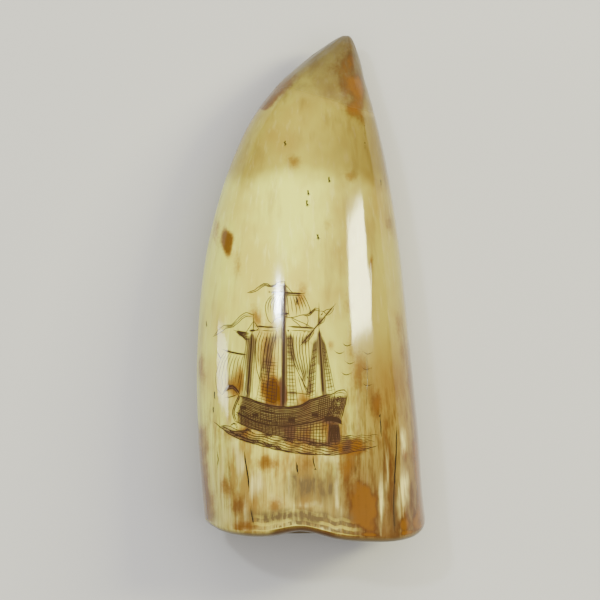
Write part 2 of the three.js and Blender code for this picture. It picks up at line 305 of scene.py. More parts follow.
def draw_sails():
    sail(
        [(-2.2, 26.2), (-3.5, 25), (-4.1, 23.3), (-3.9, 21.6), (-3.2, 19.9), (-2.6, 19.4)],
        [(0.3, 26.1), (0.1, 24.8), (0, 23.4), (-0.1, 22.4), (-0.2, 21.6), (-0.2, 21.2)],
        [0.14, 0.3, 0.46, 0.62, 0.78, 0.9],
        head=[(-3, 26.8), (1, 26.6), (4.8, 26.4)],
        foot=[(-2.6, 19.4), (-1.5, 20.6), (0.2, 21), (2.4, 20.8), (4.8, 21.5), (5.9, 21.6)],
    )
    sail(
        [(0.9, 26.1), (1.1, 24.8), (1.2, 23.4), (1.3, 22.4), (1.5, 21.4), (1.6, 21.1)],
        [(4.7, 26.2), (5.5, 24.9), (6, 23.7), (6.4, 22.7), (6.4, 21.9), (5.9, 21.5)],
        [0.2, 0.38, 0.55, 0.7, 0.85],
    )
    stroke([(-2.6, 26.3), (0.5, 26.15), (4.5, 25.95)], FINE, 0.9)
    sail(
        [(-5.3, 17.9), (-6.2, 15.7), (-6.4, 12.7), (-6.2, 9.9), (-5.7, 7.1), (-5, 5.5)],
        [(-1.4, 17.7), (-2.2, 13.9), (-2.9, 10), (-3.4, 7), (-3.6, 5.2), (-3.6, 4)],
        [0.16, 0.34, 0.52, 0.7, 0.86],
        head=[(-6.3, 18.8), (-4, 18.6), (-1.7, 18.5)],
    )
    sail(
        [(1.9, 17.6), (1.8, 14.6), (2.3, 11.4), (3.4, 8.4), (4.8, 5.6), (6.1, 3.2)],
        [(7, 17.7), (6.2, 15.9), (6.1, 13.2), (6.3, 10), (6.2, 6.8), (6.5, 2.9)],
        [0.15, 0.32, 0.48, 0.64, 0.82],
        head=[(1.5, 18.7), (4.4, 18.5), (7.4, 18.3)],
        foot=[(0.9, 3.3), (3.4, 3.1), (6.5, 2.75)],
    )
    stroke([(3.6, 7.2), (4.1, 5.4), (4.7, 3.1)], FINE, 0.8)
    stroke([(4.4, 7), (4.9, 5.2), (5.7, 3.1)], FINE, 0.8)
    stroke([(-5.2, 17.9), (-3.6, 17.7), (-1.8, 17.7)], FINE, 0.8)
    stroke([(1.9, 17.8), (4.4, 17.7), (6.6, 17.6)], FINE, 0.8)
    sail(
        [(-13.6, 12.8), (-14.7, 10.8), (-15.5, 8.4), (-15.8, 5.9), (-15.4, 4), (-14.3, 2.6)],
        [(-9.2, 12), (-9.8, 10), (-10, 8), (-10.2, 6.6), (-10.4, 5.6), (-10.6, 4.8)],
        [0.12, 0.26, 0.4, 0.54, 0.68, 0.84],
        head=[(-13.9, 13.2), (-11.4, 12.5), (-8.7, 12.1)],
        foot=[(-14.3, 2.6), (-13.4, 3.6), (-12.9, 4.4)],
    )
    stroke([(-15.4, 12.6), (-15, 11.8), (-14.6, 11)], HEAVY)
    belly = [(-11, 17.3), (-9.8, 16.6), (-8.6, 15.5), (-7.9, 15.7)]
    yard = [(-11.2, 17.7), (-9.6, 17.3), (-7.9, 17.1)]
    stroke(yard, HEAVY, 1.0, 0.03)
    stroke(belly, PLAIN, 0.9)
    for share in (0.25, 0.5, 0.75):
        stroke(between(yard, belly, share, 0.12, 1, 6), FINE, 0.8)


def draw_pennants():
    main_upper = [(0.5, 29.3), (-0.8, 29.2), (-1.8, 28.5), (-2.8, 28.2), (-3.9, 28.9), (-5.1, 28.5)]
    main_lower = [(0.3, 28.4), (-1, 28.2), (-2.2, 28.1), (-3.1, 28), (-4.1, 28.4), (-5.2, 27.8)]
    pennant([*main_upper, (-6.4, 27.4), (-8.4, 26.6)], [*main_lower, (-6.4, 26.9), (-8.4, 26.6)])
    fore_upper = [(-6.8, 21.3), (-8.6, 22), (-9.8, 21.3), (-11.1, 20), (-12.3, 18.9), (-13.6, 19.1)]
    fore_lower = [(-7.2, 21), (-8.5, 21.1), (-9.6, 20.4), (-10.7, 19.4), (-11.9, 18.5), (-13.2, 18.4)]
    pennant([*fore_upper, (-14.8, 18.2), (-16.4, 16.3)], [*fore_lower, (-14.6, 17.3), (-16.4, 16.3)])
    pennant(
        [(8.5, 22.9), (7.6, 23), (6.8, 22.3), (6.1, 21.6), (4.8, 21.5)],
        [(8.4, 22.4), (7.6, 22.6), (6.9, 21.9), (6.2, 21.2), (4.8, 21.3)],
    )


def draw_masts():
    bar((-8.3, 2.1), (-7.2, 17.3), 0.34, 2)
    bar((-6.9, 17.6), (-6.8, 21.3), 0.2, 1)
    bar((0.12, -0.2), (0.3, 21.5), 0.56, 3)
    bar((0.35, 21.6), (0.5, 29.3), 0.26, 2)
    bar((9.5, 2.6), (8.55, 18.2), 0.4, 2)
    bar((8.5, 18.4), (8.5, 23.9), 0.2, 1)
    bar((-0.9, 21.7), (1.3, 21.7), 0.5, 3)
    bar((-7.9, 17.7), (-6.3, 17.8), 0.4, 2)
    for masthead, reach, drop in (((0.5, 28.6), 1.9, 2), ((-6.8, 20), 1.4, 2.2), ((-6.8, 20), -2, 2.8)):
        x, y = masthead
        stroke([(x, y), (x + reach * 0.5, y - drop * 0.5), (x + reach, y - drop)], FINE, 0.85)
    stroke([(0.4, 28.4), (-0.2, 27.6), (-0.8, 26.8)], FINE, 0.85)
    stroke([(1.6, 20.9), (4, 19.9), (6.6, 18.6)], FINE, 0.85)
    stroke([(1.9, 20.6), (3.4, 19.4), (4.3, 18.6)], FINE, 0.85)
    stroke([(5.6, 21.3), (6, 20), (5.4, 18.5)], FINE, 0.75)


def draw_lateen():
    foot, peak = np.array([4.2, 14.3]), np.array([12.3, 23.9])
    bar(foot, peak, 0.2, 1)
    length = np.hypot(*(peak - foot))
    along = (peak - foot) / length
    below = np.array([along[1], -along[0]])
    for low, high, bulge in ((0.03, 0.4, 0.75), (0.5, 0.72, 0.6), (0.72, 0.97, 0.65)):
        places = []
        for share in (0, 0.25, 0.5, 0.75, 1):
            on_yard = foot + along * length * (low + (high - low) * share)
            places.append(on_yard + below * bulge * math.sin(math.pi * share) ** 0.8)
        stroke(places, THIN, 0.9)
    stroke([(8.7, 22.3), (9.6, 22.2), (10.3, 21.5)], FINE, 0.8)
    stroke([(9.4, 22), (10.4, 22.7), (11.3, 22.8)], FINE, 0.8)


def draw_shrouds():
    shrouds([(-8.3, 17), (-6.3, 17.2)], [(-10.3, 2.4), (-7.2, 1.8)], 6, 0, 0.95)
    shrouds([(-3.5, 17.3), (-0.8, 17.8)], [(-6.2, 1.2), (-1.6, -0.2)], 5, 13, 0.78, 0.4)
    shrouds([(-5.4, 0.8), (-2, -0.2)], [(-5.1, -3.6), (-2, -3.9)], 6, 6, 1.0, 0.0)
    shrouds([(0.95, 17.4), (2, 17.3)], [(1, 0), (3.5, -0.1)], 4, 20, 0.95)
    shrouds([(7.4, 16), (8.1, 16.6)], [(5.5, 1.3), (7.6, 2)], 4, 13, 0.95, 0.18)
    shrouds([(9, 16.6), (9.6, 16)], [(10.3, 2.7), (12.3, 3.2)], 4, 13, 0.95, 0.18)


def draw_hull():
    stroke(line(RAIL, 0, 0.84), HEAVY)
    stroke(line(WALE, 0, 0.97), HEAVY)
    stroke(line(WATERLINE, 0, 1), PLAIN, 0.9)
    stem = [(-10.3, 2.6), (-11.2, 0.6), (-11.8, -1.6), (-11.2, -3.6)]
    for shift in (0, 0.35):
        stroke([(x + shift, y) for x, y in stem], PLAIN)
    rail, wale, waterline = line(RAIL, 0.02, 0.9), line(WALE, 0.01, 0.97), line(WATERLINE, 0.02, 1)
    for k in range(1, 12):
        share = k / 12
        tool = PLAIN if k % 3 == 1 else FINE
        stroke(between(rail, wale, share, 0, 0.98, 24), tool, rng.uniform(0.8, 1), 0.06, step=1.3)
    for x in np.arange(8.3, 12, 0.5):
        low, high = through(WALE, x), through(RAIL, x)
        hatch((x + 0.3, high - 0.3), (x + 0.1, (low + high) / 2), (x, low), 0.6, 0.9)
    for k in range(1, 7):
        stroke(between(wale, waterline, k / 7, 0, 0.95, 24), FINE, rng.uniform(0.6, 0.9), 0.06, step=1.3)
    for x in np.arange(-10.4, -1.5, 0.55):
        low = through(WALE, x)
        hatch((x, low + 1.3), (x + 0.15, low + 0.7), (x + 0.1, low - 0.1), 0.5, 0.8)
    for x in np.arange(-10.6, -0.5, 0.8):
        low, high = through(WATERLINE, x), through(WALE, x)
        hatch((x, high), (x + 0.2, (low + high) / 2), (x + 0.1, low), 0.5, 0.8)
    for x in np.arange(-1.6, 3, 0.45):
        low, high = through(WALE, x), through(RAIL, x)
        stroke([(x, high - 1.4), (x - 0.1, (low + high) / 2 - 0.4), (x - 0.1, low)], FINE, 0.6)
    for x in np.arange(0.6, 11, 0.74):
        low, high = through(WATERLINE, x) - 0.6, through(WALE, x)
        hatch((x, high), (x - 0.12, (low + high) / 2), (x - 0.1, low), 0.45, 0.8)
    for x, y in ((-9.3, -0.4), (-6.4, -2.1), (2, -3.2), (7.5, -2)):
        for k in range(6):
            shift = (k - 2.5) * 0.24
            stroke([(x + shift, y + 0.55), (x + shift, y - 0.55)], PLAIN, 1.0, 0.02, dark=GUNPORT_INK)
    stroke([(-13.9, 3.4), (-12.9, 4.5), (-11.8, 4.8), (-10.9, 4), (-10.1, 2.8)], HEAVY)
    stroke([(-13.4, 3.4), (-12.6, 4.1), (-11.8, 4.3), (-11.1, 3.6), (-10.5, 2.6)], PLAIN, 0.9)
    stroke([(-13.4, 2), (-12.2, 2.1), (-10.8, 2.7)], PLAIN, 0.9)


def ring(x, y, radius):
    turn = np.linspace(0, 2 * np.pi, 9)
    places = np.column_stack([x + radius * np.cos(turn), y + radius * np.sin(turn)])
    stroke(places, FINE, 0.9, 0.03, step=0.5)


def draw_stern():
    outer = [(15.1, 3.15), (14.9, 1.4), (14.3, -0.8), (13.7, -3)]
    inner = [(12.3, 2.6), (11.7, 0.9), (10.9, -1), (10.1, -3)]
    stroke(outer, PLAIN)
    stroke(inner, PLAIN)
    stroke([(9.4, 2.5), (12.1, 3), (12.4, 3.4), (14.3, 3.9), (15.1, 3.2)], PLAIN)
    stroke([(12.2, 2.8), (13.4, 3.2), (14.9, 3)], FINE, 0.85)
    for share in (0.12, 0.24, 0.36, 0.64, 0.78, 0.9):
        stroke(between(inner, outer, share, 0.05, 0.95, 8), FINE, 0.75)
    for place in (0.2, 0.42, 0.5, 0.58, 0.8, 0.92):
        a, b = (between(side, side, 0, place, place, 1)[0] for side in (inner, outer))
        stroke([a, (a + b) / 2 + (0, 0.1), b], FINE, 0.7)
    for x, y in ((13.4, 1.6), (12.7, -0.9)):
        ring(x, y, 0.72)
        ring(x, y, 0.3)
        for turn in np.arange(0, 2 * np.pi, np.pi / 3):
            a = np.array([x, y]) + 0.34 * np.array([math.cos(turn), math.sin(turn)])
            b = np.array([x, y]) + 0.68 * np.array([math.cos(turn + 0.3), math.sin(turn + 0.3)])
            stroke([a, b], FINE, 0.8)
    for k in range(5):
        drop = 0.22 * k
        ledge = [(9.8, -2.5 - drop), (11.4, -2.5 - drop), (13, -2.8 - drop), (13.8, -3.5 - drop * 0.8)]
        stroke(ledge, HEAVY, dark=GUNPORT_INK)
    left, right = [(11.2, -3.9), (11, -6.4), (10.6, -9.2)], [(13.1, -4.2), (13.3, -6.6), (13.4, -9)]
    for k in range(9):
        stroke(between(left, right, k / 8, 0, rng.uniform(0.85, 1), 8), PLAIN, 0.95)
    for k in range(7):
        y = -4.6 - 0.62 * k
        stroke([(11, y), (12.2, y + 0.1), (13.2, y)], FINE, 0.8)


def draw_sea():
    stroke(line(SEA_FOOT, 0, 0.8, 40), PLAIN, 0.95, 0.08)
    stroke(line(SEA_FOOT, 0.76, 1), FINE, 0.8, 0.08)
    for k in range(10):
        x = np.linspace(-15 + 0.4 * k, 13.4, 64)
        pace, phase = rng.uniform(1.25, 1.45), 0.7 * k + rng.uniform(0, 0.5)
        y = through(SEA_TOP, x) - 0.56 * (k + 0.4) + 0.2 * np.sin(x * pace + phase)
        wet = y > through(SEA_FOOT, x) + 0.12
        x, y = x[wet], y[wet]
        if len(x) > 3:
            tool = PLAIN if k % 2 else FINE
            stroke(np.column_stack([x, y]), tool, rng.uniform(0.85, 1), 0.06, step=0.7)
    for k in range(15):
        x = -12.6 + 0.8 * k
        y = through(SEA_FOOT, x)
        stroke([(x, y + rng.uniform(0.7, 1.3)), (x + 0.5, y + 0.5), (x + 1.2, y + 0.1)], PLAIN, 0.85)
    for x, y, size in CRESTS:
        foot = y - size * 0.5
        for swell in (1, 0.6):
            reach, top = size * swell, y + size * 0.35 * swell
            crest = [(x - reach, foot), (x - reach * 0.4, top), (x + reach * 0.4, top), (x + reach, foot)]
            stroke(crest, FINE, 0.8)
    for k in range(8):
        y = -7 - 0.47 * k
        start, end = 13.6 + rng.uniform(0, 1.2), 22.6 - rng.uniform(0, 2.4) - 0.15 * k
        x = np.linspace(start, end, 14)
        wave = 0.17 * np.sin(x * 2.1 + 0.9 * k + rng.uniform(0, 0.6))
        drop = 0.03 * (x - start) * (1 if k < 5 else -1)
        stroke(np.column_stack([x, y + wave + drop]), THIN, rng.uniform(0.7, 0.95), 0.04, step=0.7)
    for k in range(9):
        y = -6.9 - 0.46 * k
        stroke([(13.4, y), (14.6, y - 0.2), (16.2, y + 0.05)], FINE, 0.9)


def draw_birds():
    for x, y, tone in BIRDS:
        wings = [(x - WING, y + 0.45), (x - 0.4, y), (x + 0.1, y - 0.05), (x + WING, y + 0.3)]
        stroke(wings, PLAIN, tone)


# Cracks, grooves and pits are placed by the photograph's pixels
PIXEL = 0.2372
PHOTO_SIDE = 600
PHOTO_MIDDLE = np.array([310.75, 287.0])
CRACK_SPREAD = 1.2
PIT_SPREAD = 1.25
GROOVE_DIRT = 0.2


def at_photo(px, py):
    return ((px - PHOTO_MIDDLE[0]) * PIXEL, (PHOTO_MIDDLE[1] - py) * PIXEL)


# Each has its places, half width and depth
CRACKS = [
    ([(396, 427), (395.6, 445), (394.5, 466), (393.5, 486)], 0.24, 0.3),
    ([(393.5, 484), (392.6, 500), (393, 516), (393.4, 528)], 0.15, 0.4),
    ([(379.5, 416), (380, 425), (380.6, 435)], 0.2, 0.4),
    ([(245, 451), (246, 462), (248, 474), (249.5, 488)], 0.22, 0.45),
    ([(218, 451), (218.6, 458), (218.2, 466)], 0.22, 0.4),
    ([(296.4, 461), (297, 466), (298, 471)], 0.2, 0.4),
    ([(313, 454), (313.5, 460), (315, 466)], 0.13, 0.3),
    ([(251, 505), (252, 513), (254, 524)], 0.1, 0.2),
    ([(230, 462), (230.6, 472), (230, 480)], 0.09, 0.2),
    ([(364.6, 127), (365, 131), (364.8, 136)], 0.1, 0.2),
    ([(364.8, 145), (365, 150)], 0.09, 0.2),
    ([(370.5, 262), (370.8, 290), (370.4, 318)], 0.06, 0.1),
    ([(366, 352), (366.6, 380), (365.6, 408)], 0.06, 0.1),
]
GROOVES = [
    ([(394, 482), (393.6, 500), (394, 516), (394.4, 530)], 0.6, 0.22),
    ([(252, 503), (253, 514), (255, 526)], 0.4, 0.15),
    ([(410, 478), (410.6, 500), (411.4, 522)], 0.4, 0.1),
    ([(383.4, 432), (383, 470), (381.4, 522)], 0.3, 0.08),
]
# Each has its place and radius
PITS = [
    (285, 144, 0.22), (308, 193, 0.21), (306.7, 204, 0.2),
    (317.8, 237, 0.2), (328.8, 180.5, 0.24), (380.7, 183, 0.22),
    (206.8, 324, 0.3), (215, 395, 0.26), (213.6, 409, 0.26),
    (296.7, 299, 0.17), (297, 303.6, 0.14),
]


def draw_wear():
    for marks, spread, wobble, dark in ((CRACKS, CRACK_SPREAD, 0.07, 1), (GROOVES, 1, 0.05, GROOVE_DIRT)):
        for places, half, depth in marks:
            points = [at_photo(*place) for place in places]
            stroke(points, (half * spread, depth), 0.0, wobble, origin=0, step=1.6, dark=dark)
    for px, py, radius in PITS:
        x, y = at_photo(px, py)
        places = [(x, y + radius), (x, y), (x + 0.05, y - radius)]
        stroke(places, (radius * PIT_SPREAD, radius), 0.0, 0, origin=0, step=0.4, dark=1.0)


draw_sails()
draw_pennants()
draw_masts()
draw_lateen()
draw_shrouds()
draw_hull()
draw_stern()
draw_sea()
draw_birds()
draw_wear()


def unrolled(points):
    """Places on the front, as lengths around and along the tooth."""
    return np.column_stack([UNROLLED * front_angle(points[:, 0], points[:, 1]), points[:, 1]])


flat_strokes = [(unrolled(points), *cut) for points, *cut in strokes]


def near_segment(places, a, b, reach):
    """Which places lie near the line from a to b, their share along it and their distance from it."""
    low, high = np.minimum(a, b) - reach, np.maximum(a, b) + reach
    near = np.flatnonzero(((places > low) & (places < high)).all(axis=1))
    ahead = b - a
    share = np.clip((places[near] - a) @ ahead / max(ahead @ ahead, SMALLEST), 0, 1)
    away = np.hypot(*(places[near] - a - share[:, None] * ahead).T)
    return near, share, away


def engraving(places):
    """Depth, ink, darkness and the ink's bleeding at unrolled places."""
    depth, ink, dirt, bleed = (np.zeros(len(places)) for _ in range(4))
    for points, half, deepest, tone, dark in flat_strokes:
        for k in range(len(points) - 1):
            a, b = points[k], points[k + 1]
            near, share, away = near_segment(places, a, b, BLEED)
            here = half[k] + (half[k + 1] - half[k]) * share
            inside = np.clip(1 - away / here, 0, 1)
            sunk = deepest * here / half.max()
            depth[near] = np.maximum(depth[near], inside * sunk)
            ink[near] = np.maximum(ink[near], inside * tone)
            dirt[near] = np.maximum(dirt[near], inside * dark)
            bleed[near] += np.clip(1 - away / BLEED, 0, 1) ** 2 * tone * here * np.hypot(*(b - a))
    return depth, ink, dirt, bleed


def outer_y(angle, row):
    """Where along the tooth a row of the outer skin lies, at an angle."""
    foot = rim_at(angle) + RIM_ROUNDING
    up = 1 - (1 - row / ROWS) ** ROW_BUNCHING
    return foot + (LENGTH / 2 - foot) * up


# The skin's rings, from the cavity's end over the rim and up to the tip
angles = np.arange(COLUMNS) / COLUMNS * 2 * np.pi
rims = rim_at(angles)
rings = []
wall = point_at(angles, rims, RIM_WALL)
middle_x, middle_z, _, _ = section(rims)
for k in range(CAVITY_ROWS - 1, 0, -1):
    deep = k / CAVITY_ROWS
    share = 1 - deep**1.5
    ring_x = middle_x + (wall[:, 0] - middle_x) * share
    ring_z = middle_z + (wall[:, 2] - middle_z) * share
    rings.append(np.column_stack([ring_x, rims + CAVITY_DEPTH * deep, ring_z]))

# The lip, from the cavity's wall over the rim: rise, inset and how much painted shade, with the cavity's
# darker colour, it takes
LIP = [
    (0.55, RIM_WALL, 0.9), (0.25, RIM_WALL - 0.5, 0.8), (0.05, RIM_WALL - 1.5, 0.7),
    (0, RIM_WALL / 2 + 0.4, 0.6), (0, RIM_ROUNDING, 0.55),
    (0.12, 0.8, 0.5), (0.38, 0.3, 0.4), (0.68, 0.08, 0.2),
]
for rise, inset, _ in LIP:
    rings.append(point_at(angles, rims + rise * RIM_ROUNDING, inset))
FIRST_ROW = len(rings)
rings += [point_at(angles, outer_y(angles, row)) for row in range(ROWS)]

cavity_x, cavity_z, _, _ = section(-LENGTH / 2)
cavity_end = [cavity_x, -LENGTH / 2 + CAVITY_DEPTH, cavity_z]
apex = point_at(0.0, LENGTH / 2)
grid = np.concatenate([[cavity_end], *rings, [apex]])
grid_angle = np.concatenate([[0], np.tile(angles, len(rings)), [np.pi / 2]])
apex_index = len(grid) - 1


def at(ring_index, column):
    """The number of a grid point."""
    return 1 + ring_index * COLUMNS + column % COLUMNS


# The engraved part of the front: the block of columns and rows that is divided anew
first_column, last_column = (round(a / 360 * COLUMNS) for a in FRONT_ANGLES)
front_y = outer_y(np.full(ROWS, np.pi / 2), np.arange(ROWS))
first_row = 1 + int(np.searchsorted(front_y, FRONT_BOTTOM))
last_row = int(np.searchsorted(front_y, FRONT_TOP))
columns = range(first_column, last_column + 1)
rows = range(first_row, last_row + 1)

block = np.array([[at(FIRST_ROW + j, i) for i in columns] for j in rows])
border = [*block[0], *block[1:, -1], *block[-1, -2::-1], *block[-2:0:-1, 0]]
border_flat = np.column_stack([UNROLLED * grid_angle[border], grid[border, 1]])

inner_index = block[1:-1, 1:-1].ravel()
inner_flat = np.column_stack([UNROLLED * grid_angle[inner_index], grid[inner_index, 1]])


def near_strokes(places):
    """Which places lie closer to a stroke than small triangles would need."""
    close = np.zeros(len(places), bool)
    for points, half, _, _, _ in flat_strokes:
        reach = half.max() + CLEAR_OF_STROKES
        for a, b in zip(points[:-1], points[1:]):
            near, _, away = near_segment(places, a, b, reach)
            close[near[away < reach]] = True
    return close


inner_flat = inner_flat[~near_strokes(inner_flat)]
cut_places = [*border_flat, *inner_flat]
cut_edges = []
side_low = UNROLLED * angles[first_column] + CLEAR_OF_BORDER
side_high = UNROLLED * angles[last_column] - CLEAR_OF_BORDER
bottom = border_flat[: len(columns)]
top = border_flat[len(columns) + len(rows) - 2 : 2 * len(columns) + len(rows) - 2][::-1]
for points, half, _, _, _ in flat_strokes:
    ahead = np.gradient(points, axis=0)
    aside = np.column_stack([-ahead[:, 1], ahead[:, 0]])
    aside /= np.maximum(np.hypot(*aside.T), SMALLEST)[:, None]
    for side in (1, 0, -1):
        rail = points + side * aside * half[:, None]
        rail = rail[rail[:, 1] > np.interp(rail[:, 0], *bottom.T) + CLEAR_OF_BORDER]
        rail[:, 0] = np.clip(rail[:, 0], side_low, side_high)
        start = len(cut_places)
        cut_places += list(rail)
        cut_edges += [(start + k, start + k + 1) for k in range(len(rail) - 1)]

cut_verts, _, cut_faces, cut_origins, _, _ = delaunay_2d_cdt(
    [Vector(place) for place in cut_places], cut_edges, [list(range(len(border)))], 1, MERGE_WITHIN, True
)
middles = np.array([np.mean([cut_verts[index] for index in face], axis=0) for face in cut_faces])
cut_faces = [
    face
    for face, (across, y) in zip(cut_faces, middles)
    if np.interp(across, *bottom.T) < y < np.interp(across, *top.T)
]
number = {}
for index, origins in enumerate(cut_origins):
    for origin in origins:
        if origin < len(border):
            number[index] = border[origin]
fresh = [index for index in range(len(cut_verts)) if index not in number]
fresh_flat = np.array([tuple(cut_verts[index]) for index in fresh])
number.update({index: len(grid) + k for k, index in enumerate(fresh)})

points = np.concatenate([grid, point_at(fresh_flat[:, 0] / UNROLLED, fresh_flat[:, 1])])
angle_of = np.concatenate([grid_angle, fresh_flat[:, 0] / UNROLLED])

faces = []
for i in range(COLUMNS):
    faces.append((0, at(0, i), at(0, i + 1)))
    faces.append((at(len(rings) - 1, i), apex_index, at(len(rings) - 1, i + 1)))
ring_of, column_of = np.meshgrid(np.arange(len(rings) - 1), np.arange(COLUMNS), indexing="ij")
row_of = ring_of - FIRST_ROW
in_front = (row_of >= first_row) & (row_of < last_row)
in_front &= (column_of >= first_column) & (column_of < last_column)
for ring_index, i in zip(ring_of[~in_front], column_of[~in_front]):
    a, b = at(ring_index, i), at(ring_index + 1, i)
    c, d = at(ring_index + 1, i + 1), at(ring_index, i + 1)
    faces += [(a, b, c), (a, c, d)]
for face in cut_faces:
    corners = [number[index] for index in face]
    for k in range(1, len(corners) - 1):
        faces.append((corners[0], corners[k + 1], corners[k]))
faces = np.array(faces)

# Points that no face uses any more are dropped
used = np.unique(faces)
renumber = np.zeros(len(points), int)
renumber[used] = np.arange(len(used))
ring_index = np.full(len(points), FIRST_ROW + 2)
ring_index[0] = 0
ring_index[1:apex_index] = (np.arange(1, apex_index) - 1) // COLUMNS + 1
points, angle_of, ring_index, faces = points[used], angle_of[used], ring_index[used], renumber[faces]
ring_ends = [0, int(renumber[apex_index])]


def face_normals(places):
    a, b, c = (places[faces[:, k]] for k in range(3))
    return np.cross(b - a, c - a)


def unit(vectors):
    return vectors / np.maximum(np.linalg.norm(vectors, axis=1), 1e-12)[:, None]


def vertex_normals(places):
    """Each vertex's normal, the mean of its faces' by their size."""
    normals = np.zeros_like(places)
    across = face_normals(places)
    for k in range(3):
        np.add.at(normals, faces[:, k], across)
    return unit(normals)


# Fine forms of the surface: uneven polish, the root's ridges, the worn tip
WORN_FROM = 43.5
WORN_SLANT = 3.2
turn = angle_of / (2 * np.pi)
height = points[:, 1]
outside = (ring_index > FIRST_ROW).astype(float)
facing = np.sin(angle_of)
rootward = smooth(-height, 0, 45)
unpolished = smooth(-facing, -0.15, 0.5)


def ripples(cells, length, seed):
    """Noise over the skin, with so many cells around it, each of the given length along it."""
    return noise(turn * cells, height / length, seed, cells)


relief = 0.05 * ripples(7, 24, 11) + 0.018 * ripples(24, 7, 12)
relief += (0.012 + 0.05 * unpolished) * rootward * ripples(120, 40, 13)
relief += (0.008 + 0.05 * unpolished) * rootward * ripples(57, 25, 14)
worn_from = WORN_FROM - WORN_SLANT * np.cos(angle_of) + 0.7 * ripples(14, np.inf, 15)
worn = smooth(height, worn_from - 0.6, worn_from + 1.4)
relief += worn * (-0.1 + 0.09 * ripples(16, 3.4, 16) + 0.05 * ripples(40, 1.5, 17))
relief *= outside
points = points + vertex_normals(points) * relief[:, None]
points[:, 2] = np.maximum(points[:, 2], 0)

normals = vertex_normals(points)
places = np.column_stack([UNROLLED * angle_of, height])
CARVED_LIP_RINGS = 4
on_front = (ring_index > FIRST_ROW - CARVED_LIP_RINGS) & (facing > 0)
marks = np.zeros((4, len(points)))
marks[:, on_front] = engraving(places[on_front])
depth, ink, dirt, bleed = marks
carved = points - normals * depth[:, None]

# Stains in the photograph's pixels: middle, half width, half height, strength.
# Those that are stronger than this are flat in the middle.
FLAT_FROM = 0.7
AMBER = [
    (347, 66, 13, 24, 0.24), (350, 90, 15, 22, 0.28), (351, 60, 5, 10, 0.2),
    (355, 88, 8, 9, 0.62), (352, 110, 6, 6, 0.6), (360, 98, 6, 30, 0.32),
    (349, 44, 3, 6, 0.12), (262, 105, 9, 4, 0.95), (269, 98, 8, 5, 0.9),
    (277, 90, 7, 6, 0.75), (285, 82, 7, 7, 0.5), (297, 76, 8, 6, 0.3),
    (317, 57, 10, 5, 0.17), (333, 67, 9, 8, 0.13), (316, 80, 6, 5, 0.15),
    (294, 163, 8, 8, 0.36), (350, 176, 8, 8, 0.36), (228, 243, 5, 14, 0.74),
    (217, 230, 4, 14, 0.4), (239, 266, 5, 16, 0.25), (202, 368, 4, 18, 0.42),
    (371, 262, 2.5, 10, 0.4), (398, 321, 5, 14, 0.3), (390, 224, 4, 12, 0.3),
    (329, 227, 7, 9, 0.2), (331, 344, 4, 5, 0.34), (302, 289, 7, 9, 0.22),
    (348, 302, 6, 12, 0.25), (256, 316, 6, 9, 0.48), (300, 300, 5, 9, 0.35),
    (270, 352, 9, 26, 0.3), (272, 390, 8, 15, 1.2), (281, 392, 7, 14, 0.9),
    (303, 400, 6, 9, 0.62), (234, 386, 7, 9, 0.6), (241, 380, 4, 13, 0.55),
    (288, 430, 6, 14, 0.55), (303, 437, 9, 9, 0.5), (351, 445, 13, 8, 0.75),
    (334, 430, 7, 16, 0.55), (243, 433, 20, 8, 0.4), (376, 403, 5, 13, 0.48),
    (363, 365, 8, 20, 0.2), (405, 455, 5, 8, 0.42), (349, 463, 9, 10, 0.45),
    (271, 462, 12, 10, 0.55), (305, 461, 8, 9, 0.3), (227, 486, 6, 10, 0.48),
    (240, 504, 6, 9, 0.3), (275, 503, 9, 8, 0.48), (244, 525, 10, 5, 0.6),
    (362, 504, 15, 22, 0.86), (347, 473, 6, 15, 0.34), (340, 462, 5, 12, 0.25),
    (368, 536, 10, 5, 0.95), (404, 523, 5, 5, 0.7), (417, 521, 5, 6, 0.7),
    (410, 533, 9, 4, 0.8), (201, 468, 5, 44, 0.7), (208, 508, 6, 18, 0.5),
    (214, 500, 4, 14, 0.35), (237, 508, 9, 15, 0.24), (422, 485, 5, 44, 0.95),
    (418, 440, 5, 44, 0.7), (411, 370, 4, 50, 0.45), (405, 514, 4, 12, 0.4),
    (417, 514, 4, 12, 0.45), (386, 508, 3, 18, 0.25), (207, 446, 4, 34, 0.25),
    (320, 424, 40, 10, 0.22), (262, 350, 14, 40, 0.16), (357, 372, 9, 22, 0.3),
    (352, 336, 6, 16, 0.2), (350, 448, 9, 6, 0.5), (403, 350, 5, 30, 0.3),
]
PALE_LANES = [
    (403, 440, 4, 14, 0.5), (403, 490, 6, 24, 0.6), (386, 470, 3, 30, 0.35),
    (380, 500, 2.5, 30, 0.6), (336, 488, 3, 14, 0.5), (342, 508, 3, 12, 0.36),
    (262, 482, 10, 14, 0.45), (278, 496, 10, 8, 0.3), (312, 502, 22, 4, 0.34),
    (223, 470, 4, 40, 0.5), (246, 512, 3, 18, 0.6), (229, 516, 4, 12, 0.4),
    (330, 455, 12, 8, 0.35), (302, 480, 2, 8, 0.4), (234, 445, 8, 16, 0.3),
    (242, 460, 4, 13, 0.6), (254, 486, 5, 14, 0.5), (215, 522, 8, 5, 0.4),
    (300, 526, 44, 2.4, 0.5),
]
GREY = [
    (298, 486, 13, 13, 0.8), (319, 486, 15, 13, 0.75), (331, 484, 6, 16, 0.5),
    (312, 470, 14, 8, 0.3), (262, 513, 14, 6, 0.45), (300, 514, 40, 7, 0.85),
    (335, 516, 16, 7, 0.4), (394, 508, 4, 26, 0.5), (238, 512, 8, 12, 0.25),
    (212, 518, 8, 7, 0.4), (340, 150, 30, 16, 0.12), (300, 62, 14, 7, 0.3),
    (283, 92, 14, 7, 0.3),
]


